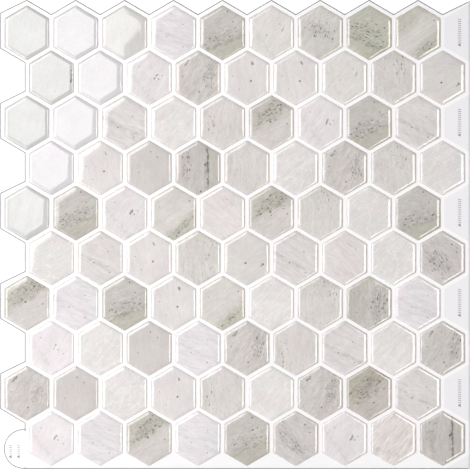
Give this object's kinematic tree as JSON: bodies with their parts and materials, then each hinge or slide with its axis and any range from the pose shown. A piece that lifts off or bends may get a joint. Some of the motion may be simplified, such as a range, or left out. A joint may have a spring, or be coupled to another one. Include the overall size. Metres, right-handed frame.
{
  "type": "peel and stick backsplash tile",
  "caption": "Self-adhesive wall tile sheet: raised glossy stone-look hexagons in nested rows on a white film, with a zigzag top and left edge, a plain overlap strip and a peel tab.",
  "frame": {"origin": "centre of the sheet's outline, on the underside of the release liner", "axes": "+X along the rows towards the plain overlap strip, +Y up the wall, +Z out of the tile face"},
  "size_m": [0.3048, 0.3046, 0.0021],
  "materials": {
    "liner_paper": "matte",
    "film": "satin",
    "gel_tile": "gloss"
  },
  "bodies": {
    "root": {"release_liner": "liner_paper", "vinyl_film": "film", "tile_row_01": "gel_tile", "tile_row_02": "gel_tile", "tile_row_03": "gel_tile", "tile_row_04": "gel_tile", "tile_row_05": "gel_tile", "tile_row_06": "gel_tile", "tile_row_07": "gel_tile", "tile_row_08": "gel_tile", "tile_row_09": "gel_tile", "tile_row_10": "gel_tile"}
  },
  "joints": []
}
